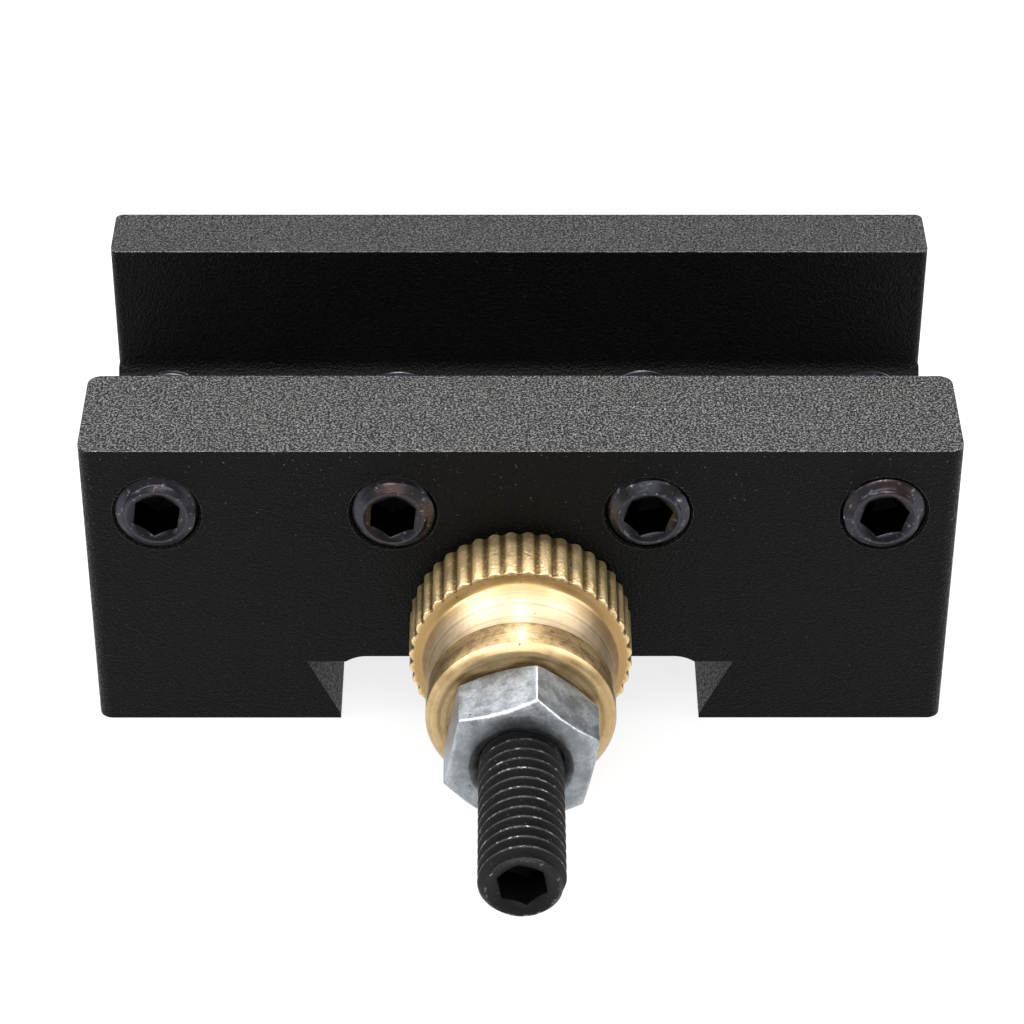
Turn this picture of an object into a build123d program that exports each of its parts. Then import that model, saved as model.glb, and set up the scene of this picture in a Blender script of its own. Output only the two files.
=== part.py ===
"""Turning tool holder: slotted block on a dovetail groove, four clamp screws, and a stud with two nuts.

Millimetres. +X runs along the block, +Y from the front face to the back, +Z up out of the tool slot.
The origin is on the mid-plane of the groove, level with its lands, at the front face.
"""

import os
from math import cos, radians, sin, sqrt, tan

from build123d import *

os.makedirs("parts", exist_ok=True)

# Holder block
block_length = 63.0
block_depth = 32.0
block_height = 24.5
front_bar = 9.5
rear_wall = 5.5
slot_depth = 11.5
slot_fillet = 1.5
end_round = 0.6

# Dovetail groove
groove_mouth = 26.8
groove_depth = 5.4
flank_angle = 65.0
lip_flat = 0.4
relief_depth = 0.5
relief_width = 27.9
relief_radius = 2.6

# Clamp screws, from left to right
clamp_spots = [-26.1, -9.15, 9.15, 26.1]
clamp_proud = [0.45, 0.62, 0.55, 0.62]
clamp_turns = [-98.0, -96.0, -108.0, -106.0]
clamp_height = 19.0
clamp_length = 16.0
clamp_tip_chamfer = 1.5
clamp_face = 2.25
clamp_taper = 0.55

# Thread and sockets, shared by the screws, the stud and the nuts
thread_radius = 3.0
running_gap = 0.05
press_overlap = 0.05
socket_flats = 3.05
socket_depth = 3.2
face_ring = 0.15
end_chamfer = 0.5
hole_chamfer = 0.2

# Height stud
stud_height = 9.8
stud_length = 40.0
stud_reach = 29.5
stud_face = 2.5
stud_taper = 0.6
stud_turn = -80.0

# Knurled height nut
nut_start = 0.3
knurl_width = 5.0
knurl_radius = 8.05
knurl_cut = 0.28
knurl_teeth = 40
knurl_phase = 86.0
face_cone = 0.3
cove_outer = 7.15
cove_inner = 6.35
cove_end = 9.4
collar_radius = 6.75
collar_end = 12.2
collar_chamfer = 0.45
nut_sink = 3.5

# Lock nut
nut_gap = 0.05
lock_flats = 10.0
lock_width = 5.0
lock_face = 4.75
lock_sink = 3.65
lock_turn = 79.0


def save(shape, node):
    export_step(shape, f"parts/{node}.step")


def facing_out(shape, x, y, z):
    """Turn a shape drawn along +Z so that it points out of the front face, and place it."""
    return Pos(x, y, z) * Rot(X=90) * shape


def turned(points):
    """Solid of revolution about Z, from (radius, height) points."""
    outline = Polyline([(radius, 0, height) for radius, height in points], close=True)
    return revolve(make_face(outline), Axis.Z)


def hexagon(flats, height, angle):
    """Hexagonal prism from height 0 up, with a corner at the given angle."""
    outline = RegularPolygon(radius=flats / sqrt(3), side_count=6)
    return Rot(Z=angle) * extrude(outline, height)


def sunk_bore(radius, start, end, sink):
    """Round hole from start to end, with a 120 degree countersink at both ends."""
    slope = (sink - radius) * tan(radians(30))
    return turned([
        (0, start - 1),
        (sink, start - 1),
        (sink, start),
        (radius, start + slope),
        (radius, end - slope),
        (sink, end),
        (sink, end + 1),
        (0, end + 1),
    ])


def socket_screw(length, angle, face, taper, tip_chamfer):
    """Headless screw whose socket opens at height 0, inside a round face. Its body runs down from there."""
    body = turned([
        (0, -length),
        (thread_radius - tip_chamfer, -length),
        (thread_radius, -length + tip_chamfer),
        (thread_radius, -taper),
        (face, 0),
        (0, 0),
    ])
    inside = face - face_ring
    socket = Pos(0, 0, -socket_depth) * hexagon(socket_flats, socket_depth + 1, angle)
    sink = turned([
        (0, -inside * tan(radians(30))),
        (inside, 0),
        (inside, 1),
        (0, 1),
    ])
    return body - socket - sink


def dovetail():
    """The groove: a blunt lip, a leaning flank and a flat ceiling, with a shallow rounded relief above."""
    mouth = groove_mouth / 2
    ceiling = mouth + (groove_depth - lip_flat) / tan(radians(flank_angle))
    outline = [
        (-mouth, -1),
        (mouth, -1),
        (mouth, lip_flat),
        (ceiling, groove_depth),
        (-ceiling, groove_depth),
        (-mouth, lip_flat),
    ]
    face = make_face(Polyline([(x, -1, z) for x, z in outline], close=True))
    groove = extrude(face, block_depth + 2, dir=(0, 1, 0))
    height = relief_radius + relief_depth
    relief = Pos(0, block_depth / 2, groove_depth + relief_depth - height / 2) * Box(
        relief_width, block_depth + 2, height
    )
    top_edges = relief.edges().filter_by(Axis.Y).group_by(Axis.Z)[-1]
    return groove + fillet(top_edges, relief_radius)


def holder_block():
    """The block, with its tool slot, groove, clamp screw holes and stud hole."""
    slot_width = block_depth - front_bar - rear_wall
    block = Pos(0, block_depth / 2, block_height / 2) * Box(block_length, block_depth, block_height)
    slot = Pos(0, front_bar + slot_width / 2, block_height) * Box(
        block_length + 2, slot_width, 2 * slot_depth
    )
    floor_edges = slot.edges().filter_by(Axis.X).group_by(Axis.Z)[0]
    block -= fillet(floor_edges, slot_fillet)
    upright = block.edges().filter_by(Axis.Z)
    block = fillet(upright, end_round)
    block -= dovetail()
    radius = thread_radius + running_gap
    for x in clamp_spots:
        hole = turned([
            (0, -front_bar - 1),
            (radius, -front_bar - 1),
            (radius, -hole_chamfer),
            (radius + hole_chamfer, 0),
            (radius + hole_chamfer, 1),
            (0, 1),
        ])
        block -= facing_out(hole, x, 0, clamp_height)
    seat = thread_radius - press_overlap
    buried = stud_length - stud_reach
    stud_hole = turned([
        (0, -buried - 0.2),
        (seat, -buried - 0.2),
        (seat, 1),
        (0, 1),
    ])
    return block - facing_out(stud_hole, 0, 0, stud_height)


def height_nut():
    """Knurled flange, hollow cove and plain collar, drawn upward from the face beside the block."""
    tooth = 360 / knurl_teeth
    root = knurl_radius - knurl_cut
    rim = []
    for i in range(knurl_teeth):
        for part, radius in ((-0.22, knurl_radius), (0.22, knurl_radius), (0.5, root)):
            angle = radians(knurl_phase + (i + part) * tooth)
            rim.append((radius * cos(angle), radius * sin(angle)))
    flange = extrude(make_face(Polyline(rim, close=True)), knurl_width)
    face = knurl_width + face_cone
    end = collar_end - nut_start
    neck = cove_end - nut_start
    hub = turned([
        (0, 1),
        (cove_outer, 1),
        (cove_outer, face),
        (cove_outer - 0.5 * (cove_outer - cove_inner), face + 0.35),
        (cove_inner, face + 1.3),
        (cove_inner, neck),
        (collar_radius, neck),
        (collar_radius, end - collar_chamfer),
        (collar_radius - collar_chamfer, end),
        (0, end),
    ])
    cone = turned([
        (0, 0),
        (knurl_radius, 0),
        (knurl_radius, knurl_width),
        (cove_outer, face),
        (0, face),
    ])
    top = turned([(0, 1), (knurl_radius - knurl_cut, knurl_width), (cove_outer, face), (0, face)])
    nut = (flange & cone) + top + hub
    nut -= sunk_bore(thread_radius + running_gap, 0, end, nut_sink)
    return facing_out(nut, 0, -nut_start, stud_height)


def lock_nut():
    """Hexagon nut with both faces chamfered at 30 degrees."""
    corner = lock_flats / sqrt(3) + 0.2
    slope = (corner - lock_face) * tan(radians(30))
    envelope = turned([
        (0, 0),
        (lock_face, 0),
        (corner, slope),
        (corner, lock_width - slope),
        (lock_face, lock_width),
        (0, lock_width),
    ])
    nut = hexagon(lock_flats, lock_width, lock_turn) & envelope
    nut -= sunk_bore(thread_radius + running_gap, 0, lock_width, lock_sink)
    return facing_out(nut, 0, -collar_end - nut_gap, stud_height)


save(holder_block(), "holder_block")
for i, (x, proud, angle) in enumerate(zip(clamp_spots, clamp_proud, clamp_turns)):
    screw = socket_screw(clamp_length, angle, clamp_face, clamp_taper, clamp_tip_chamfer)
    save(facing_out(screw, x, -proud, clamp_height), f"clamp_screw_{i + 1}")
stud = socket_screw(stud_length, stud_turn, stud_face, stud_taper, end_chamfer)
save(facing_out(stud, 0, -stud_reach, stud_height), "height_stud")
save(height_nut(), "height_nut")
save(lock_nut(), "lock_nut")
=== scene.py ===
from math import cos, pi, radians, sin, tan

import bmesh
import bpy
import numpy as np
from mathutils import Matrix, Vector


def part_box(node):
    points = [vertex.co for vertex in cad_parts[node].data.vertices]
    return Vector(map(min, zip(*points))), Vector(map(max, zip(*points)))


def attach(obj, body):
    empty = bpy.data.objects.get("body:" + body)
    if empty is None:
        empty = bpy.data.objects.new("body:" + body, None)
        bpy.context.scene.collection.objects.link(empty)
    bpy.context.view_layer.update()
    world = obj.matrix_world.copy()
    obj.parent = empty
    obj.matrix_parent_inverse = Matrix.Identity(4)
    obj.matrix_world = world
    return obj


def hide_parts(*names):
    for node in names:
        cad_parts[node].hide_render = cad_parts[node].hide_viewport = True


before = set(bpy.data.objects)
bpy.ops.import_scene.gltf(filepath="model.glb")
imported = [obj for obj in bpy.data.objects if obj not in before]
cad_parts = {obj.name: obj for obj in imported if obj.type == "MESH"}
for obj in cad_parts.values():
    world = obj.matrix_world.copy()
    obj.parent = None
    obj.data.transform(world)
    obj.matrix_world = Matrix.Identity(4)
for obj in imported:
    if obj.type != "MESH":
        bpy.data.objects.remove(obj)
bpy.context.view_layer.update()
mm = 0.001


# ---------------------------------------------------------------------------------------------
# The bench and the light. The holder lies on its two dovetail lands on a white table that gives
# off a little light. Two soft lamps stand behind it, a wide one overhead, one at each side and a
# weak one in front.
# ---------------------------------------------------------------------------------------------

scene = bpy.context.scene
scene.view_settings.view_transform = "Standard"
scene.view_settings.look = "None"


def material(name):
    """An empty node material: its tree, and the Principled shader wired to its output."""
    made = bpy.data.materials.new(name)
    made.use_nodes = True
    tree = made.node_tree
    tree.nodes.clear()
    shader = tree.nodes.new("ShaderNodeBsdfPrincipled")
    out = tree.nodes.new("ShaderNodeOutputMaterial")
    tree.links.new(shader.outputs["BSDF"], out.inputs["Surface"])
    return made, tree, shader


def node(tree, kind, options=None, **sockets):
    """A shader node. Options set its own choices. Sockets take a value or a link: they are named with _ for each
    space, or i0, i1 and so on where several share a name."""
    made = tree.nodes.new("ShaderNode" + kind)
    for key, value in (options or {}).items():
        setattr(made, key, value)
    for key, value in sockets.items():
        numbered = key[0] == "i" and key[1:].isdigit()
        socket = made.inputs[int(key[1:]) if numbered else key.replace("_", " ")]
        if isinstance(value, bpy.types.NodeSocket):
            tree.links.new(value, socket)
        else:
            socket.default_value = value
    return made


def blend(tree, mask, first, second):
    """A colour between two, by a mask."""
    made = tree.nodes.new("ShaderNodeMix")
    made.data_type = "RGBA"
    for socket, value in ((made.inputs[0], mask), (made.inputs[6], first), (made.inputs[7], second)):
        if isinstance(value, bpy.types.NodeSocket):
            tree.links.new(value, socket)
        else:
            socket.default_value = value if isinstance(value, float) else (*value, 1)
    return made.outputs[2]


table_half = 1.5
table_rise = 0.5
table_flat_share = 0.6
table_whites = ((0.15, 0.15, 0.15), (0.17, 0.17, 0.17))


def table_top():
    """A square sheet. Its height is 0 up to a share of the way to its back edge. Beyond that it is the rise times
    the square of how much further back a point is, as a share of the half width, so that it has no horizon."""
    span = np.linspace(-1, 1, 41)
    x, y = np.meshgrid(span * table_half, span * table_half, indexing="ij")
    z = table_rise * np.clip(y / table_half - table_flat_share, 0, None) ** 2
    return np.stack([x, y, z], axis=-1)


def sheet_mesh(name, points):
    """The quads between neighbours on one open grid of points."""
    rows, columns = points.shape[:2]
    index = np.arange(rows * columns).reshape(rows, columns)
    quads = np.stack([index[:-1, :-1], index[1:, :-1], index[1:, 1:], index[:-1, 1:]], axis=-1)
    mesh = bpy.data.meshes.new(name)
    mesh.from_pydata(points.reshape(-1, 3).tolist(), [], quads.reshape(-1, 4).tolist())
    mesh.update()
    return mesh


table = bpy.data.objects.new("table_top", sheet_mesh("table_top", table_top()))
scene.collection.objects.link(table)
white, tree, shader = material("white_table")
place = node(tree, "TexCoord").outputs["Object"]
mottle = node(tree, "TexNoise", Vector=place, Scale=9.0, Detail=3.0)
tree.links.new(blend(tree, mottle.outputs["Fac"], *table_whites), shader.inputs["Base Color"])
shader.inputs["Roughness"].default_value = 0.7
shader.inputs["Specular IOR Level"].default_value = 0.1
shader.inputs["Emission Color"].default_value = (1.0, 1.0, 1.0, 1)
shader.inputs["Emission Strength"].default_value = 0.82
table.data.materials.append(white)

world = bpy.data.worlds.new("studio_air")
scene.world = world
world.use_nodes = True
world.node_tree.nodes["Background"].inputs["Color"].default_value = (1.0, 1.0, 1.0, 1)
world.node_tree.nodes["Background"].inputs["Strength"].default_value = 0.25


def soft_lamp(name, place, aim, width, height, watts):
    """A rectangular lamp at a place, turned towards a point."""
    light = bpy.data.lights.new(name, "AREA")
    light.shape = "RECTANGLE"
    light.size = width
    light.size_y = height
    light.energy = watts
    lamp = bpy.data.objects.new(name, light)
    lamp.location = place
    lamp.rotation_euler = (Vector(aim) - Vector(place)).to_track_quat("-Z", "Y").to_euler()
    scene.collection.objects.link(lamp)


middle = (0.0, 0.0, 0.012)
soft_lamp("lamp_behind", (0.0, 0.36, 0.42), middle, 0.07, 0.34, 1.3)
soft_lamp("lamp_low_behind", (0.0, 0.50, 0.385), middle, 0.28, 0.12, 1.8)
soft_lamp("lamp_overhead", (0.0, 0.06, 0.75), middle, 1.2, 0.8, 7.0)
soft_lamp("lamp_left", (-0.50, 0.08, 0.46), middle, 0.5, 0.5, 6.6)
soft_lamp("lamp_right", (0.50, 0.08, 0.46), middle, 0.5, 0.5, 4.6)
soft_lamp("lamp_front", (-0.05, -0.40, 0.58), middle, 0.6, 0.3, 3.2)


# ---------------------------------------------------------------------------------------------
# The camera stands in front of the holder and looks down on it along the stud.
# ---------------------------------------------------------------------------------------------

camera_place = (-1.307 * mm, -199.13 * mm, 165.97 * mm)
camera_down = radians(36.4)
camera_aside = radians(0.198)
camera_roll = radians(-0.108)
camera_lens = 121.289
camera_sensor = 36.0
camera = bpy.data.objects.new("camera", bpy.data.cameras.new("camera"))
ahead = Vector((sin(camera_aside) * cos(camera_down), cos(camera_aside) * cos(camera_down), -sin(camera_down)))
level = Vector((cos(camera_aside), -sin(camera_aside), 0))
down = ahead.cross(level)
across = cos(camera_roll) * level + sin(camera_roll) * down
up = sin(camera_roll) * level - cos(camera_roll) * down
camera.matrix_world = Matrix.Translation(camera_place) @ Matrix((across, up, -ahead)).transposed().to_4x4()
camera.data.sensor_width = camera_sensor
camera.data.lens = camera_lens
camera.data.clip_start = 0.01
scene.collection.objects.link(camera)
scene.camera = camera


# ---------------------------------------------------------------------------------------------
# Holder block. One bar of steel, milled to a slotted section with a dovetail groove below, then
# bead blasted and blackened. Handling has rubbed the black off its sharp edges.
# ---------------------------------------------------------------------------------------------

(low_x, front_y, low_z), (high_x, back_y, top_z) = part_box("holder_block")
front_bar = 9.5 * mm
rear_wall = 5.5 * mm
slot_depth = 11.5 * mm
slot_fillet = 1.5 * mm
end_round = 0.6 * mm
front_round = 1.0 * mm
edge_break = 0.13 * mm
groove_mouth = 26.8 * mm
groove_depth = 5.4 * mm
groove_lean = radians(65)
lip_flat = 0.4 * mm
relief_depth = 0.5 * mm
relief_width = 27.9 * mm
relief_radius = 2.6 * mm
thread_radius = 3.0 * mm
clamp_spots = [-26.1 * mm, -9.15 * mm, 9.15 * mm, 26.1 * mm]
clamp_height = 19.0 * mm
clamp_hole = 3.05 * mm
clamp_hole_chamfer = 0.2 * mm
clamp_hole_depth = 11.0 * mm
stud_height = 9.8 * mm
stud_hole = 2.95 * mm
stud_hole_depth = 10.4 * mm
corner_rise = 0.9 * mm
beyond = 1.0 * mm
black_shades = ((0.0026, 0.0026, 0.0026), (0.0046, 0.0045, 0.0044))
# Grey of the grain's sparse specks, and of the painted sparkle on the top faces and the upper front face.
speck_and_sparkle_grey = (0.12, 0.12, 0.117)
edge_black = (0.012, 0.012, 0.012)
bare_steel = (0.62, 0.62, 0.61)


def arc(centre, radius, start, end, steps):
    """Points on a circle about a centre, from one angle to another in degrees."""
    turn = np.radians(np.linspace(start, end, steps + 1))
    return np.stack([centre[0] + radius * np.cos(turn), centre[1] + radius * np.sin(turn)], axis=-1)


def section(*runs):
    """Single points and arcs joined end to end into one outline."""
    return np.concatenate([np.reshape(run, (-1, 2)) for run in runs])


def carried(name, outline, low, high, along):
    """An outline carried straight from low to high along an axis, closed by a face at each end. An outline
    point (u, v) at distance t stands at (t, u, v) along X, (u, t, v) along Y and (u, v, t) along Z."""
    count = len(outline)
    ends = np.repeat([[low], [high]], count, axis=1)[..., None]
    flat = np.repeat(outline[None], 2, axis=0)
    parts = {"X": (ends, flat), "Y": (flat[..., :1], ends, flat[..., 1:]), "Z": (flat, ends)}[along]
    points = np.concatenate(parts, axis=-1).reshape(-1, 3)
    here = np.arange(count)
    after = (here + 1) % count
    sides = np.stack([here, after, after + count, here + count], axis=-1).tolist()
    mesh = bpy.data.meshes.new(name)
    mesh.from_pydata(points.tolist(), [], sides + [here[::-1].tolist(), (here + count).tolist()])
    facing_out(mesh)
    return bpy.data.objects.new(name, mesh)


def facing_out(mesh):
    """Merges points that meet and turns every face outwards."""
    work = bmesh.new()
    work.from_mesh(mesh)
    bmesh.ops.remove_doubles(work, verts=work.verts, dist=2e-7)
    bmesh.ops.recalc_face_normals(work, faces=work.faces)
    work.to_mesh(mesh)
    work.free()


def lathe(name, rings, hollow=False):
    """Rings of points, each joined to the next and round on itself. The last ring joins the first when hollow,
    and otherwise each end ring closes on its own middle."""
    rows, columns = rings.shape[:2]
    points = rings.reshape(-1, 3)
    index = np.arange(rows * columns).reshape(rows, columns)
    if hollow:
        index = np.vstack([index, index[:1]])
    beside = np.roll(index, -1, axis=1)
    faces = np.stack([index[:-1], beside[:-1], beside[1:], index[1:]], axis=-1).reshape(-1, 4).tolist()
    if not hollow:
        points = np.concatenate([points, rings[0].mean(0)[None], rings[-1].mean(0)[None]])
        last = rows * columns
        faces += np.stack([beside[0], index[0], np.full(columns, last)], axis=-1).tolist()
        faces += np.stack([index[-1], beside[-1], np.full(columns, last + 1)], axis=-1).tolist()
    mesh = bpy.data.meshes.new(name)
    mesh.from_pydata(points.tolist(), [], faces)
    facing_out(mesh)
    return bpy.data.objects.new(name, mesh)


def outward(radius, turn, reach, x, z):
    """Places rings on an axis that leaves the front face: a point at an angle and radius, and at a reach out of the
    face, stands at (x + radius cos angle, -reach, z + radius sin angle)."""
    radius, turn, reach = np.broadcast_arrays(radius, turn, reach)
    return np.stack([x + radius * np.cos(turn), -reach, z + radius * np.sin(turn)], axis=-1)


def cut(piece, tool, how="DIFFERENCE"):
    """Takes the tool's solid from the piece, or keeps what they share, and drops the tool."""
    for each in (piece, tool):
        if each.name not in scene.collection.objects:
            scene.collection.objects.link(each)
    step = piece.modifiers.new("cut", "BOOLEAN")
    step.operation = how
    step.solver = "EXACT"
    step.object = tool
    made = bpy.data.meshes.new_from_object(piece.evaluated_get(bpy.context.evaluated_depsgraph_get()))
    piece.modifiers.clear()
    piece.data = made
    bpy.data.objects.remove(tool)


floor_z = top_z - slot_depth
slot_back = back_y - rear_wall
block = carried("blackened_block", section(
    (front_y, low_z),
    (back_y, low_z),
    (back_y, top_z),
    (slot_back, top_z),
    arc((slot_back - slot_fillet, floor_z + slot_fillet), slot_fillet, 0, -90, 10),
    arc((front_bar + slot_fillet, floor_z + slot_fillet), slot_fillet, 270, 180, 10),
    (front_bar, top_z),
    (front_y, top_z),
), low_x, high_x, "X")
near, far = high_x - front_round, high_x - end_round
cut(block, carried("rounded_ends", section(
    arc((far, back_y - end_round), end_round, 0, 90, 8),
    arc((-far, back_y - end_round), end_round, 90, 180, 8),
    arc((-near, front_y + front_round), front_round, 180, 270, 8),
    arc((near, front_y + front_round), front_round, 270, 360, 8),
), low_z - beyond, top_z + beyond, "Z"), "INTERSECT")
turn = np.radians(np.linspace(0, 90, 9))
for side in (-1, 1):
    for wall, radius, way in ((front_bar, front_round, -1), (slot_back, end_round, 1)):
        corner_x = side * (high_x - radius + radius * np.cos(turn))
        corner_y = wall + way * (radius - radius * np.sin(turn))
        corner_cutter = section(
            np.stack([corner_x, corner_y], axis=-1),
            (side * (high_x - radius), wall - way * beyond),
            (side * (high_x + beyond), wall - way * beyond),
            (side * (high_x + beyond), wall + way * radius),
        )
        cut(block, carried("corner_cutter", corner_cutter, floor_z + corner_rise, top_z + beyond, "Z"))
mouth = groove_mouth / 2
ceiling = mouth + (groove_depth - lip_flat) / tan(groove_lean)
relief_side = relief_width / 2 - relief_radius
relief_centre = groove_depth + relief_depth - relief_radius
lift = np.degrees(np.arcsin((groove_depth - relief_centre) / relief_radius))
cut(block, carried("dovetail_cutter", section(
    (mouth, -beyond),
    (mouth, lip_flat),
    (ceiling, groove_depth),
    arc((relief_side, relief_centre), relief_radius, lift, 90, 6),
    arc((-relief_side, relief_centre), relief_radius, 90, 180 - lift, 6),
    (-ceiling, groove_depth),
    (-mouth, lip_flat),
    (-mouth, -beyond),
), front_y - beyond, back_y + beyond, "Y"))
round_72 = np.linspace(0, 2 * pi, 72, endpoint=False)
drill = np.array([
    (clamp_hole + clamp_hole_chamfer, beyond),
    (clamp_hole + clamp_hole_chamfer, 0),
    (clamp_hole, -clamp_hole_chamfer),
    (clamp_hole, -clamp_hole_depth),
])
for x in clamp_spots:
    cut(block, lathe("drill", outward(drill[:, :1], round_72, drill[:, 1:], x, clamp_height)))
drill = np.array([(stud_hole, beyond), (stud_hole, -stud_hole_depth)])
cut(block, lathe("drill", outward(drill[:, :1], round_72, drill[:, 1:], 0, stud_height)))
block.data.shade_smooth()
block.data.set_sharp_from_angle(angle=radians(30))
rounding = block.modifiers.new("edge_break", "BEVEL")
rounding.width = edge_break
rounding.segments = 2
rounding.limit_method = "ANGLE"
rounding.angle_limit = radians(50)
rounding.harden_normals = True
rounding.material = 1


def group(name, takes, gives):
    """A node group with named input values and named outputs: its tree, its inputs and its outputs."""
    tree = bpy.data.node_groups.new(name, "ShaderNodeTree")
    for key, value in takes.items():
        kind = "NodeSocketVector" if value is None else "NodeSocketFloat"
        socket = tree.interface.new_socket(key, in_out="INPUT", socket_type=kind)
        if value is not None:
            socket.default_value = value
    for key in gives:
        tree.interface.new_socket(key, in_out="OUTPUT", socket_type="NodeSocketFloat")
    return tree, tree.nodes.new("NodeGroupInput").outputs, tree.nodes.new("NodeGroupOutput").inputs


def use(tree, name, **sockets):
    """A group placed in a tree, with its inputs set or linked."""
    made = tree.nodes.new("ShaderNodeGroup")
    made.node_tree = bpy.data.node_groups[name]
    for key, value in sockets.items():
        socket = made.inputs[key.replace("_", " ")]
        if isinstance(value, bpy.types.NodeSocket):
            tree.links.new(value, socket)
        else:
            socket.default_value = value
    return made.outputs


def math(tree, operation, *values):
    """One step of arithmetic on up to three values."""
    sockets = {f"i{k}": value for k, value in enumerate(values)}
    return node(tree, "Math", {"operation": operation}, **sockets).outputs[0]


def ramp(tree, value, low, high, start=0.0, end=1.0):
    """A smooth step from start to end as the value goes from low to high."""
    options = {"interpolation_type": "SMOOTHSTEP"}
    made = node(tree, "MapRange", options, Value=value, From_Min=low, From_Max=high, To_Min=start, To_Max=end)
    return made.outputs["Result"]


tree, given, result = group("blasted_grain", {"Place": None, "Scale": 8000.0}, ["Height", "Fleck"])
coarse = node(tree, "TexNoise", Vector=given["Place"], Scale=given["Scale"], Detail=1.0, Roughness=0.5)
cells = node(tree, "TexVoronoi", Vector=given["Place"], Scale=given["Scale"])
tree.links.new(math(tree, "MULTIPLY_ADD", cells.outputs["Distance"], 0.6, coarse.outputs["Fac"]), result["Height"])
sparse = node(tree, "TexNoise", Vector=given["Place"], Scale=math(tree, "MULTIPLY", given["Scale"], 0.8), Detail=1.0)
tree.links.new(ramp(tree, sparse.outputs["Fac"], 0.70, 0.78), result["Fleck"])

tree, given, result = group("rubbed_away", {"Place": None, "Scale": 900.0, "Amount": 0.5}, ["Mask"])
patches = node(tree, "TexNoise", Vector=given["Place"], Scale=given["Scale"], Detail=4.0, Roughness=0.7)
edge = math(tree, "SUBTRACT", 1.0, given["Amount"])
starts = math(tree, "MULTIPLY_ADD", edge, 0.5, 0.19)
ends = math(tree, "MULTIPLY_ADD", edge, 0.5, 0.31)
tree.links.new(ramp(tree, patches.outputs["Fac"], starts, ends), result["Mask"])

black, tree, shader = material("blasted_black")
place = node(tree, "TexCoord").outputs["Object"]
grain = use(tree, "blasted_grain", Place=place, Scale=5600.0)
clouds = node(tree, "TexNoise", Vector=place, Scale=160.0, Detail=4.0, Roughness=0.6)
base = blend(tree, clouds.outputs["Fac"], *black_shades)
spot = node(tree, "SeparateXYZ", Vector=place).outputs
dense = ramp(tree, node(tree, "TexNoise", Vector=place, Scale=6200.0, Detail=1.0).outputs["Fac"], 0.47, 0.60)
# Painted sparkle: the top faces get grey, part metal specks, stronger towards the front, for the glints of light
# their blasted grain catches. The grain's own sparse specks are made denser up the front face towards its top edge,
# which is painted sparkle too.
on_top = ramp(tree, spot["Z"], 24.36 * mm, 24.46 * mm)
painted_top_sparkle = math(tree, "MULTIPLY", on_top, ramp(tree, spot["Y"], 2 * mm, 26 * mm, 0.68, 0.38))
painted_top_sparkle = math(tree, "MULTIPLY", dense, painted_top_sparkle)
near_top = ramp(tree, spot["Z"], 14.0 * mm, 24.4 * mm, 0.25, 1.0)
specks_and_sparkle = math(tree, "MULTIPLY", near_top, ramp(tree, spot["Y"], 0.3 * mm, 2 * mm, 1.0, 0.15))
fleck = math(tree, "MAXIMUM", painted_top_sparkle, math(tree, "MULTIPLY", grain["Fleck"], specks_and_sparkle))
tree.links.new(blend(tree, fleck, base, speck_and_sparkle_grey), shader.inputs["Base Color"])
tree.links.new(math(tree, "MULTIPLY", painted_top_sparkle, 0.5), shader.inputs["Metallic"])
tree.links.new(ramp(tree, grain["Height"], 0.55, 1.0, 0.17, 0.55), shader.inputs["Roughness"])
shader.inputs["Specular IOR Level"].default_value = 0.08
bump = node(tree, "Bump", Strength=1.0, Distance=0.10 * mm, Height=grain["Height"])
tree.links.new(bump.outputs["Normal"], shader.inputs["Normal"])

rubbed, tree, shader = material("rubbed_edges")
place = node(tree, "TexCoord").outputs["Object"]
worn = use(tree, "rubbed_away", Place=place, Scale=1800.0, Amount=0.60)["Mask"]
# The bared edges show fully along the top edges and at 0.12 of that further down.
toward_top = ramp(tree, node(tree, "SeparateXYZ", Vector=place).outputs["Z"], 23.6 * mm, 24.3 * mm, 0.12, 1.0)
worn = math(tree, "MULTIPLY", worn, toward_top)
tree.links.new(blend(tree, worn, edge_black, bare_steel), shader.inputs["Base Color"])
tree.links.new(math(tree, "MULTIPLY", worn, 0.8), shader.inputs["Metallic"])
shader.inputs["Roughness"].default_value = 0.42
grain = use(tree, "blasted_grain", Place=place, Scale=9000.0)
bump = node(tree, "Bump", Strength=0.5, Distance=0.03 * mm, Height=grain["Height"])
tree.links.new(bump.outputs["Normal"], shader.inputs["Normal"])
for each in (black, rubbed):
    block.data.materials.append(each)
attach(block, "holder")
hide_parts("holder_block")


# ---------------------------------------------------------------------------------------------
# Height stud. A hardened M6 x 40 socket set screw with rolled threads, black oxide finished and
# locked into the block. Its hexagon socket faces the user.
# ---------------------------------------------------------------------------------------------

pitch = 1.0 * mm
thread_depth = 0.60 * mm
crest_share = 0.085
flank_share = 0.33
end_chamfer = 0.5 * mm
socket_apothem = 1.57 * mm
socket_depth = 3.2 * mm
face_ring = 0.15 * mm
stud_length = 40.0 * mm
stud_reach = 29.5 * mm
stud_face = 2.5 * mm
stud_taper = 0.6 * mm
stud_turn = -80.0
stud_thread_start = 0.85
steps_per_pitch = 16
columns = 96
oxide_black = (0.015, 0.0135, 0.014)
oxide_worn = (0.25, 0.245, 0.25)
# Painted shade: the inside of the hexagon socket and its mouth is darkened towards black.
socket_shade_black = (0.006, 0.006, 0.006)


def thread_radius_at(phase, outer):
    """Radius of a rolled thread, where phase counts pitches along it. A point's distance from the nearest crest,
    less half the flat crest, over the flank's share gives how far down it is, from 0 to 1. The depth is 0.85 of
    that and 0.15 of its smooth step, which rounds the crest and the root."""
    from_crest = np.abs((phase + 0.5) % 1.0 - 0.5)
    down = np.clip((from_crest - crest_share) / flank_share, 0, 1)
    return outer - thread_depth * (0.85 * down + 0.15 * down * down * (3 - 2 * down))


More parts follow.
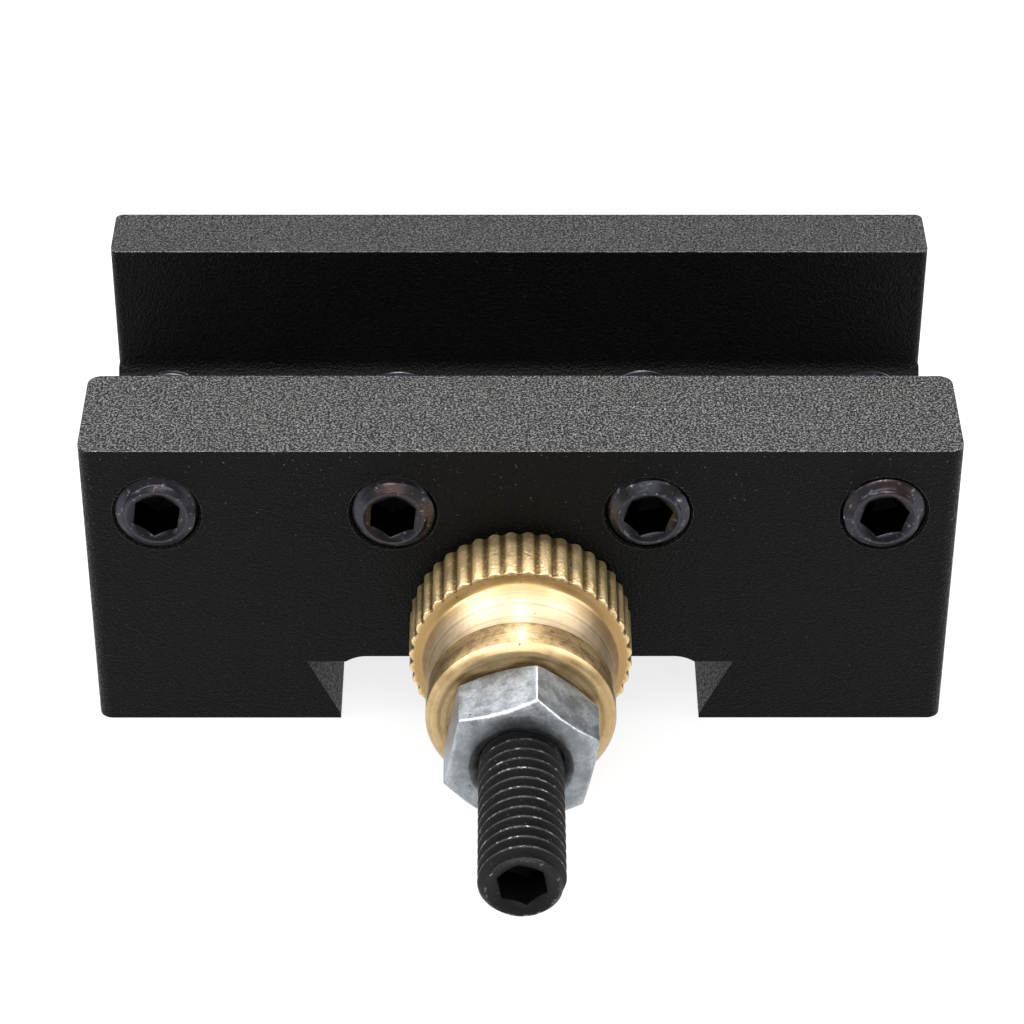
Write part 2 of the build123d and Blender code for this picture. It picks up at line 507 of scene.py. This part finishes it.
def socket_screw(name, reach, length, turn, face, taper, tip_chamfer, x, z, start):
    """A threaded rod from reach back to reach less length, with a hexagon socket at its near end. The thread is a
    grid of rings that climb one pitch a turn, so its radius follows the reach over the pitch less the share of a
    turn. A cone that narrows to the face over the taper clips the near end, and a 45 degree chamfer the tip. The
    socket's wall stands at the apothem over the cosine of the angle from the middle of its flat. Each point keeps
    its share of crest for the finish to use, and of socket, which marks where shade is painted into the socket
    and its mouth."""
    turn = radians(turn)
    angle = turn + np.linspace(0, 2 * pi, columns, endpoint=False)
    climb = (angle - turn) / (2 * pi)
    low, high = reach - length, reach
    rows = int(np.ceil(length / pitch + 2)) * steps_per_pitch
    phase = np.arange(rows) / steps_per_pitch
    along = np.clip(low - pitch + (phase[:, None] + climb[None]) * pitch, low, high)
    near_cone = face + (high - along) * (thread_radius - face) / taper
    tip_face = thread_radius - tip_chamfer
    ridge = thread_radius_at(along / pitch - climb[None] + start, thread_radius)
    radius = np.minimum(ridge, np.minimum(tip_face + (along - low), near_cone))
    crest = np.clip(1 - (thread_radius - ridge) / (0.05 * mm), 0, 1)
    points = outward(radius, angle[None], along, x, z).reshape(-1, 3)

    index = np.arange(rows * columns).reshape(rows, columns)
    beside = np.roll(index, -1, axis=1)
    beside[:, -1] = np.roll(index[:, 0], -steps_per_pitch)
    whole = rows - steps_per_pitch
    thread = np.stack([index[:-1], beside[:-1], beside[1:], index[1:]], axis=-1)[:whole - 1]
    last_turn, last_beside = index[whole - 1:, :-1], beside[whole - 1:, :-1]
    last = np.stack([last_turn[:-1], last_beside[:-1], last_beside[1:], last_turn[1:]], axis=-1)

    same = np.ones(columns)
    sink = face - face_ring
    hexagon = socket_apothem / np.cos((angle - turn) % (pi / 3) - pi / 6)
    mouth_depth = (sink - hexagon) * tan(radians(30))
    easing = 0.03 * mm
    near_rings = [
        (face * same, high * same),
        ((face - easing) * same, high * same),
        ((sink + easing) * same, high * same),
        (sink * same, (high - 0.006 * mm) * same),
        (hexagon + easing, high - mouth_depth + easing * tan(radians(30))),
        (hexagon, high - mouth_depth - 0.02 * mm),
        (hexagon, high - mouth_depth - 0.10 * mm),
        (hexagon, (high - socket_depth) * same),
        (hexagon * 0.9, (high - socket_depth - 0.1 * mm) * same),
        (hexagon * 0.02, (high - socket_depth - 0.8 * mm) * same),
    ]
    tip_rings = [
        (tip_face * same, low * same),
        ((tip_face - 0.05 * mm) * same, low * same),
        (0.3 * mm * same, low * same),
    ]
    quads = [thread.reshape(-1, 4), last.reshape(-1, 4)]
    caps = []
    stack = [points]
    count = len(points)
    for rings in (near_rings, tip_rings):
        around, out = np.swapaxes(np.array(rings), 0, 1)
        placed = outward(around, angle[None], out, x, z)
        ring = count + np.arange(len(rings) * columns).reshape(-1, columns)
        following = np.roll(ring, -1, axis=1)
        middle = count + len(rings) * columns
        quads.append(np.stack([ring[:-1], following[:-1], following[1:], ring[1:]], axis=-1).reshape(-1, 4))
        caps.append(np.stack([ring[-1], following[-1], np.full(columns, middle)], axis=-1))
        stack += [placed.reshape(-1, 3), placed[-1].mean(0)[None]]
        count = middle + 1
    mesh = bpy.data.meshes.new(name)
    faces = np.concatenate(quads).tolist() + np.concatenate(caps).tolist()
    mesh.from_pydata(np.concatenate(stack).tolist(), [], faces)

    rim_end = len(points) + 3 * columns
    mouth_end = len(points) + 6 * columns
    socket_end = len(points) + len(near_rings) * columns + 1
    worn = np.zeros(count)
    worn[:len(points)] = crest.reshape(-1)
    worn[len(points):rim_end] = 1
    # Painted shade: the socket share darkens the countersunk mouth by 0.4 and the socket itself fully.
    socket_shade = np.zeros(count)
    socket_shade[rim_end:mouth_end] = 0.4
    socket_shade[mouth_end:socket_end] = 1
    for key, values in (("crest", worn), ("socket", socket_shade)):
        mesh.attributes.new(key, "FLOAT", "POINT").data.foreach_set("value", values.astype(np.float32))
    facing_out(mesh)
    mesh.shade_smooth()
    mesh.set_sharp_from_angle(angle=radians(38))
    made = bpy.data.objects.new(name, mesh)
    scene.collection.objects.link(made)
    return made


oxide, tree, shader = material("black_oxide")
place = node(tree, "TexCoord").outputs["Object"]
grain = use(tree, "blasted_grain", Place=place, Scale=6000.0)
crest = node(tree, "Attribute", {"attribute_name": "crest"}).outputs["Fac"]
socket_shade = node(tree, "Attribute", {"attribute_name": "socket"}).outputs["Fac"]
worn = use(tree, "rubbed_away", Place=place, Scale=2200.0, Amount=0.31)["Mask"]
worn = math(tree, "MULTIPLY", worn, math(tree, "POWER", crest, 9.0))
fleck = math(tree, "MULTIPLY", grain["Fleck"], 0.35)
base = blend(tree, math(tree, "MAXIMUM", worn, fleck), oxide_black, oxide_worn)
# Painted shade darkens the socket and its mouth.
tree.links.new(blend(tree, socket_shade, base, socket_shade_black), shader.inputs["Base Color"])
shader.inputs["Metallic"].default_value = 0.75
tree.links.new(ramp(tree, grain["Height"], 0.3, 1.0, 0.40, 0.55), shader.inputs["Roughness"])
bump = node(tree, "Bump", Strength=0.4, Distance=0.03 * mm, Height=grain["Height"])
tree.links.new(bump.outputs["Normal"], shader.inputs["Normal"])
stud = socket_screw(
    "height_stud_threaded", stud_reach, stud_length, stud_turn, stud_face, stud_taper, end_chamfer,
    0, stud_height, stud_thread_start,
)
stud.data.materials.append(oxide)
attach(stud, "holder")
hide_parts("height_stud")


# ---------------------------------------------------------------------------------------------
# Height nut. Turned from brass bar: a straight knurled flange that rests on the tool post, a
# hollow cove and a plain collar with a chamfered face. It screws along the stud.
# ---------------------------------------------------------------------------------------------

nut_start = 0.3 * mm
nut_bore = 3.05
nut_length = 11.86
flange_radius = 8.05
flange_width = 5.0
neck_radius = 6.33
neck_start = 5.38
neck_length = 3.64
neck_flare = 0.75
collar_radius = 6.75
knurl_cut = 0.24 * mm
knurl_teeth = 40
knurl_phase = radians(86)
samples_per_tooth = 10
brass_shades = ((0.46, 0.315, 0.145), (0.58, 0.425, 0.23))
# Painted reflection: the cove is paled towards cream to stand for the lamps it reflects.
cove_painted_reflection = (0.52, 0.415, 0.29)
# Painted shade: the collar is darkened to a dull brown for the dark block face it reflects.
collar_painted_shade = (0.30, 0.205, 0.10)
scuff_brown = (0.15, 0.10, 0.05)
shoulder_gold = (0.52, 0.30, 0.08)
# Painted shade: the root of the cove, in the corner against the flange, is darkened brown.
root_painted_shade = (0.32, 0.205, 0.08)
ring_brown = (0.28, 0.18, 0.08)
# Painted shade at the crevice by the collar's back step; the same brown also draws the lathe lines.
crevice_shade_and_line_brown = (0.11, 0.065, 0.03)
ridge_gold = (0.84, 0.63, 0.33)
# Painted shade: the knurl's valleys are darkened brown.
valley_painted_shade = (0.19, 0.115, 0.045)
glint_gold = (1.0, 0.86, 0.52)
pit_brown = (0.05, 0.035, 0.02)


def brass_profile():
    """(radius, reach from the back face, knurl share), in mm, round the nut's half section: from the back of its
    bore out over the flange, cove and collar and back through the bore. The cove's radius is the neck's radius and
    the flare times the 1.6th power of what is left of the neck's length."""
    along = np.linspace(0, 1, 15)
    cove_radius = neck_radius + neck_flare * (1 - along) ** 1.6
    cove = np.stack([cove_radius, neck_start + neck_length * along, 0 * along], axis=-1)
    back = [
        (nut_bore, 0.26, 0), (3.5, 0.0, 0), (5.0, 0.0, 0), (flange_radius - 0.75, 0.0, 0),
        (flange_radius - 0.5, 0.02, 0.1), (flange_radius - 0.1, 0.24, 0.9), (flange_radius, 0.34, 1),
    ]
    flange = [
        (flange_radius, 1.5, 1), (flange_radius, 3.0, 1), (flange_radius, flange_width - 0.12, 1),
        (flange_radius - 0.01, flange_width - 0.05, 1), (flange_radius - 0.03, flange_width - 0.02, 1),
        (flange_radius - 0.07, flange_width, 1), (flange_radius - 0.27, flange_width + 0.01, 0.5),
        (flange_radius - 0.45, flange_width + 0.03, 0), (7.2, 5.26, 0), (7.12, 5.34, 0),
    ]
    collar = [
        (6.34, 9.06, 0), (6.40, 9.09, 0), (collar_radius - 0.06, 9.11, 0), (collar_radius - 0.01, 9.14, 0),
        (collar_radius, 9.2, 0), (collar_radius, 9.4, 0), (collar_radius, 10.5, 0),
        (collar_radius, nut_length - 0.46, 0), (collar_radius - 0.02, nut_length - 0.4, 0),
        (collar_radius - 0.41, nut_length, 0),
    ]
    front = [
        (6.28, nut_length + 0.04, 0), (5.95, nut_length + 0.04, 0), (5.85, nut_length + 0.02, 0),
        (5.75, nut_length, 0), (5.6, nut_length, 0), (4.5, nut_length, 0), (3.55, nut_length, 0),
        (3.5, nut_length - 0.02, 0),
        (nut_bore, nut_length - 0.31, 0), (nut_bore, 6.0, 0),
    ]
    return np.concatenate([back, flange, cove, collar, front]).T


def knurled(name):
    """The half section turned about the stud. On the flange the radius dips between teeth by the cut depth times
    one less a raised cosine, which leaves rounded ridges. Each point keeps its share of ridge and of valley; the
    finish paints shade into the valleys."""
    radius, reach, share = brass_profile()
    angle = knurl_phase + np.linspace(0, 2 * pi, knurl_teeth * samples_per_tooth, endpoint=False)
    ridge = (0.5 + 0.5 * np.cos((angle - knurl_phase) * knurl_teeth)) ** 0.8
    rings = radius[:, None] * mm - knurl_cut * share[:, None] * (1 - ridge[None])
    made = lathe(name, outward(rings, angle[None], nut_start + reach[:, None] * mm, 0, stud_height), hollow=True)
    for key, values in (("knurl", share[:, None] + 0 * ridge), ("valley", share[:, None] * (1 - ridge))):
        spread = values.astype(np.float32).reshape(-1)
        made.data.attributes.new(key, "FLOAT", "POINT").data.foreach_set("value", spread)
    return made


nut = knurled("knurled_brass_nut")
scene.collection.objects.link(nut)
nut.data.shade_smooth()
nut.data.set_sharp_from_angle(angle=radians(50))

tree, given, result = group("small_pits", {"Place": None, "Scale": 500.0, "Share": 0.1}, ["Mask"])
spots = node(tree, "TexVoronoi", Vector=given["Place"], Scale=given["Scale"])
chance = node(tree, "SeparateColor", Color=spots.outputs["Color"]).outputs[0]
size = math(tree, "MULTIPLY", ramp(tree, chance, math(tree, "SUBTRACT", 1.0, given["Share"]), 1.0), 0.2)
tree.links.new(ramp(tree, math(tree, "SUBTRACT", size, spots.outputs["Distance"]), 0.0, 0.05), result["Mask"])

brass, tree, shader = material("turned_brass")
place = node(tree, "TexCoord").outputs["Object"]
around = node(tree, "Mapping", Vector=place, Location=(0, 0, -stud_height))
split = node(tree, "SeparateXYZ", Vector=around.outputs[0]).outputs
squares = math(tree, "ADD", math(tree, "POWER", split["X"], 2.0), math(tree, "POWER", split["Z"], 2.0))
radial = math(tree, "SQRT", squares)
ring_place = node(tree, "CombineXYZ", X=radial, Y=split["Y"], Z=0.0).outputs[0]
rings = node(tree, "TexNoise", Vector=ring_place, Scale=5500.0, Detail=3.0, Roughness=0.7)
tone = node(tree, "TexNoise", Vector=place, Scale=420.0, Detail=4.0, Roughness=0.65)
pits = use(tree, "small_pits", Place=place, Scale=900.0, Share=0.20)["Mask"]
reach = math(tree, "MULTIPLY", split["Y"], -1.0)


def between(tree, value, low, high, soft):
    """A mask that is 1 from low to high and falls to 0 over a soft distance on both sides."""
    rise = ramp(tree, value, low - soft, low)
    return math(tree, "MULTIPLY", rise, ramp(tree, value, high, high + soft, 1.0, 0.0))


# Where the collar is darkened with painted shade.
collar = between(tree, reach, 9.42 * mm, 11.68 * mm, 0.04 * mm)
# The crevice at the collar's back step, darkened with painted shade.
crevice = between(tree, reach, 9.33 * mm, 9.40 * mm, 0.05 * mm)
shoulder = between(tree, reach, 5.29 * mm, 5.60 * mm, 0.06 * mm)
shoulder = math(tree, "MULTIPLY", shoulder, between(tree, radial, 7.12 * mm, 7.7 * mm, 0.2 * mm))
# Where the cove is paled as a painted reflection.
cove = between(tree, reach, 5.9 * mm, 9.2 * mm, 0.3 * mm)
# Where the root of the cove is darkened with painted shade.
root = between(tree, reach, 5.6 * mm, 6.2 * mm, 0.7 * mm)
pulled = node(tree, "VectorMath", {"operation": "MULTIPLY"}, i0=ring_place, i1=(1.0, 3.0, 1.0)).outputs[0]
lines = node(tree, "TexNoise", Vector=pulled, Scale=1600.0, Detail=3.0, Roughness=0.6)
lines = ramp(tree, lines.outputs["Fac"], 0.5125, 0.9)
scuffs = node(tree, "TexNoise", Vector=place, Scale=1900.0, Detail=4.0, Roughness=0.7)
scuffs = ramp(tree, scuffs.outputs["Fac"], 0.47, 0.62)
knurl = node(tree, "Attribute", {"attribute_name": "knurl"}).outputs["Fac"]
valley = node(tree, "Attribute", {"attribute_name": "valley"}).outputs["Fac"]
grain = use(tree, "blasted_grain", Place=place, Scale=5000.0)
glint = ramp(tree, node(tree, "TexNoise", Vector=place, Scale=6500.0, Detail=1.0).outputs["Fac"], 0.56, 0.66)
glint = math(tree, "MULTIPLY", math(tree, "MULTIPLY", knurl, glint), ramp(tree, valley, 0.2, 0.8, 0.75, 0.25))
base = blend(tree, ramp(tree, tone.outputs["Fac"], 0.35, 0.65), *brass_shades)
for mask, colour in (
    (math(tree, "MULTIPLY", cove, 0.8), cove_painted_reflection),
    (math(tree, "MULTIPLY", collar, 0.55), collar_painted_shade),
    (math(tree, "MULTIPLY", scuffs, math(tree, "MULTIPLY_ADD", collar, 0.5, 0.12)), scuff_brown),
    (math(tree, "MULTIPLY", shoulder, 0.6), shoulder_gold),
    (math(tree, "MULTIPLY", root, 0.6), root_painted_shade),
    (math(tree, "MULTIPLY", ramp(tree, rings.outputs["Fac"], 0.45, 0.7), 0.45), ring_brown),
    (math(tree, "MULTIPLY", math(tree, "MAXIMUM", crevice, lines), 0.7), crevice_shade_and_line_brown),
    (math(tree, "MULTIPLY", knurl, 0.85), ridge_gold),
    # Painted shade in the knurl's valleys.
    (ramp(tree, valley, 0.30, 0.90), valley_painted_shade),
    (glint, glint_gold),
):
    base = blend(tree, mask, base, colour)
tree.links.new(blend(tree, pits, base, pit_brown), shader.inputs["Base Color"])
shader.inputs["Coat Weight"].default_value = 0.25
shader.inputs["Coat Roughness"].default_value = 0.12
tree.links.new(math(tree, "SUBTRACT", 1.0, pits), shader.inputs["Metallic"])
dull = ramp(tree, tone.outputs["Fac"], 0.3, 0.7, 0.40, 0.50)
tree.links.new(math(tree, "MULTIPLY_ADD", knurl, -0.01, dull), shader.inputs["Roughness"])
rough = math(tree, "MULTIPLY", grain["Height"], math(tree, "MULTIPLY_ADD", knurl, 3.0, 0.3))
height = math(tree, "MULTIPLY_ADD", rings.outputs["Fac"], 0.6, rough)
bump = node(tree, "Bump", Strength=0.4, Distance=0.03 * mm, Height=height)
tree.links.new(bump.outputs["Normal"], shader.inputs["Normal"])
nut.data.materials.append(brass)
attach(nut, "height_nut")
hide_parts("height_nut")


# ---------------------------------------------------------------------------------------------
# Lock nut. A cold-formed M6 hexagon nut, chamfered on both faces and zinc plated. It jams
# against the knurled nut to hold the height.
# ---------------------------------------------------------------------------------------------

lock_start = 12.25 * mm
lock_flats = 10.0
lock_width = 5.0
lock_face = 4.75
lock_bore = 3.05
lock_sink = 3.65
lock_corner = 0.22
lock_turn = 79.0
zinc_shades = ((0.185, 0.202, 0.216), (0.33, 0.354, 0.37))
# Lighter edge grey: plating worn off the edges, and a painted highlight for the bright line the rounded edges catch.
zinc_worn_edge_highlight = (0.46, 0.48, 0.51)
zinc_dull = (0.20, 0.21, 0.22)
zinc_pit = (0.10, 0.10, 0.11)


def hexagon_outline():
    """(x, y) round a hexagon whose corners are arcs of a small radius, in mm: each corner is seven points over 60
    degrees about its own centre, and each flat four points between two corners."""
    corner = radians(lock_turn) + np.arange(6) * pi / 3
    swing = np.radians(np.linspace(-30, 30, 7))
    centre = (lock_flats / 2 - lock_corner) / cos(pi / 6)
    x = centre * np.cos(corner)[:, None] + lock_corner * np.cos(corner[:, None] + swing)
    y = centre * np.sin(corner)[:, None] + lock_corner * np.sin(corner[:, None] + swing)
    part = np.array([0.06, 0.35, 0.65, 0.94])
    end = np.stack([x[:, -1], y[:, -1]], axis=-1)
    start = np.roll(np.stack([x[:, 0], y[:, 0]], axis=-1), -1, axis=0)
    flat = end[:, None] * (1 - part)[None, :, None] + start[:, None] * part[None, :, None]
    return np.concatenate([np.stack([x, y], axis=-1), flat], axis=1).reshape(-1, 2)


def hexagon_nut(name):
    """Rings that run from the back of the bore over the back face, flats and front face and back through the bore.
    Past the round face each ring follows the hexagon, and its height drops by how far the hexagon stands outside
    the round face times the tangent of 30 degrees. Each point keeps whether it lies on an edge, which the finish
    lightens both as worn plating and as a painted highlight."""
    outline = hexagon_outline()
    angle = np.arctan2(outline[:, 1], outline[:, 0])
    hexagon = np.hypot(outline[:, 0], outline[:, 1])
    drop = (hexagon - lock_face) * tan(radians(30))
    back_edge, front_edge = drop, lock_width - drop
    same = np.ones_like(hexagon)
    rows = [
        (lock_bore, 0.35), (lock_sink, 0.0), (4.2, 0.0), (lock_face - 0.06, 0.0), (lock_face + 0.06, 0.03),
        (hexagon - 0.125, back_edge - 0.072), (hexagon - 0.034, back_edge + 0.019), (hexagon, back_edge + 0.144),
        (hexagon, back_edge + 0.3), (hexagon, front_edge - 0.3), (hexagon, front_edge - 0.144),
        (hexagon - 0.009, front_edge - 0.07), (hexagon - 0.034, front_edge - 0.019),
        (hexagon - 0.075, front_edge + 0.030), (hexagon - 0.125, front_edge + 0.072),
        (lock_face + 0.06, lock_width - 0.03), (lock_face - 0.06, lock_width), (4.2, lock_width),
        (lock_sink + 0.07, lock_width), (lock_sink, lock_width - 0.03), (lock_bore + 0.05, lock_width - 0.35),
        (lock_bore, lock_width - 0.5),
    ]
    radius = np.stack([same * r for r, _ in rows]) * mm
    reach = lock_start + np.stack([same * a for _, a in rows]) * mm
    made = lathe(name, outward(radius, angle[None], reach, 0, stud_height), hollow=True)
    edge = np.zeros(radius.shape)
    edge[6:8] = edge[10:15] = 1
    edge[8:10] = np.tile(np.array([0, 0, 1, 1, 1, 0, 0, 0, 0, 0, 0]), 6)
    made.data.attributes.new("edge", "FLOAT", "POINT").data.foreach_set("value", edge.astype(np.float32).reshape(-1))
    return made


lock = hexagon_nut("zinc_lock_nut")
scene.collection.objects.link(lock)
lock.data.shade_smooth()
lock.data.set_sharp_from_angle(angle=radians(60))
zinc, tree, shader = material("zinc_plate")
place = node(tree, "TexCoord").outputs["Object"]
tone = node(tree, "TexNoise", Vector=place, Scale=700.0, Detail=5.0, Roughness=0.7)
pits = use(tree, "small_pits", Place=place, Scale=1700.0, Share=0.28)["Mask"]
edge = node(tree, "Attribute", {"attribute_name": "edge"}).outputs["Fac"]
grain = use(tree, "blasted_grain", Place=place, Scale=5200.0)
# The edges are lightened, partly as worn plating and partly as a painted highlight.
worn = math(tree, "MULTIPLY", edge, ramp(tree, tone.outputs["Fac"], 0.36, 0.58, 0.35, 1.0))
base = blend(tree, ramp(tree, tone.outputs["Fac"], 0.35, 0.65), *zinc_shades)
base = blend(tree, worn, base, zinc_worn_edge_highlight)
base = blend(tree, ramp(tree, grain["Height"], 0.6, 1.1, 0.0, 0.5), base, zinc_dull)
tree.links.new(blend(tree, pits, base, zinc_pit), shader.inputs["Base Color"])
shader.inputs["Metallic"].default_value = 0.92
tree.links.new(ramp(tree, tone.outputs["Fac"], 0.3, 0.7, 0.36, 0.48), shader.inputs["Roughness"])
bump = node(tree, "Bump", Strength=0.35, Distance=0.015 * mm, Height=grain["Height"])
tree.links.new(bump.outputs["Normal"], shader.inputs["Normal"])
lock.data.materials.append(zinc)
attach(lock, "lock_nut")
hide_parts("lock_nut")


# ---------------------------------------------------------------------------------------------
# Clamp screws. Four M6 x 16 socket set screws of heat-blued steel through the front bar. Their
# tips stand in the slot, each run in a little further or less than the next.
# ---------------------------------------------------------------------------------------------

clamp_length = 16.0 * mm
clamp_tip_chamfer = 1.5 * mm
clamp_proud = [0.45 * mm, 0.62 * mm, 0.55 * mm, 0.62 * mm]
clamp_face = 2.25 * mm
clamp_taper = 0.55 * mm
clamp_turns = [-98.0, -96.0, -108.0, -106.0]
clamp_thread_step = 0.21
blue_shades = ((0.028, 0.028, 0.034), (0.062, 0.062, 0.076))
heat_brown = (0.066, 0.043, 0.040)
worn_blue = (0.26, 0.26, 0.285)

blued, tree, shader = material("blued_steel")
place = node(tree, "TexCoord").outputs["Object"]
tone = node(tree, "TexNoise", Vector=place, Scale=500.0, Detail=4.0, Roughness=0.65)
socket_shade = node(tree, "Attribute", {"attribute_name": "socket"}).outputs["Fac"]
worn = use(tree, "rubbed_away", Place=place, Scale=2200.0, Amount=0.22)["Mask"]
warm = node(tree, "TexNoise", Vector=place, Scale=170.0, Detail=1.0)
base = blend(tree, tone.outputs["Fac"], *blue_shades)
base = blend(tree, ramp(tree, warm.outputs["Fac"], 0.55, 0.72), base, heat_brown)
base = blend(tree, worn, base, worn_blue)
# Painted shade darkens each socket and its mouth.
tree.links.new(blend(tree, socket_shade, base, socket_shade_black), shader.inputs["Base Color"])
shader.inputs["Metallic"].default_value = 0.95
tree.links.new(ramp(tree, tone.outputs["Fac"], 0.3, 0.7, 0.26, 0.38), shader.inputs["Roughness"])
grain = use(tree, "blasted_grain", Place=place, Scale=6500.0)
bump = node(tree, "Bump", Strength=0.25, Distance=0.015 * mm, Height=grain["Height"])
tree.links.new(bump.outputs["Normal"], shader.inputs["Normal"])
for k, (x, proud, turn) in enumerate(zip(clamp_spots, clamp_proud, clamp_turns)):
    screw = socket_screw(
        f"clamp_screw_threaded_{k + 1}", proud, clamp_length, turn, clamp_face, clamp_taper, clamp_tip_chamfer,
        x, clamp_height, clamp_thread_step * k,
    )
    screw.data.materials.append(blued)
    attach(screw, f"clamp_{k + 1}")
    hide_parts(f"clamp_screw_{k + 1}")
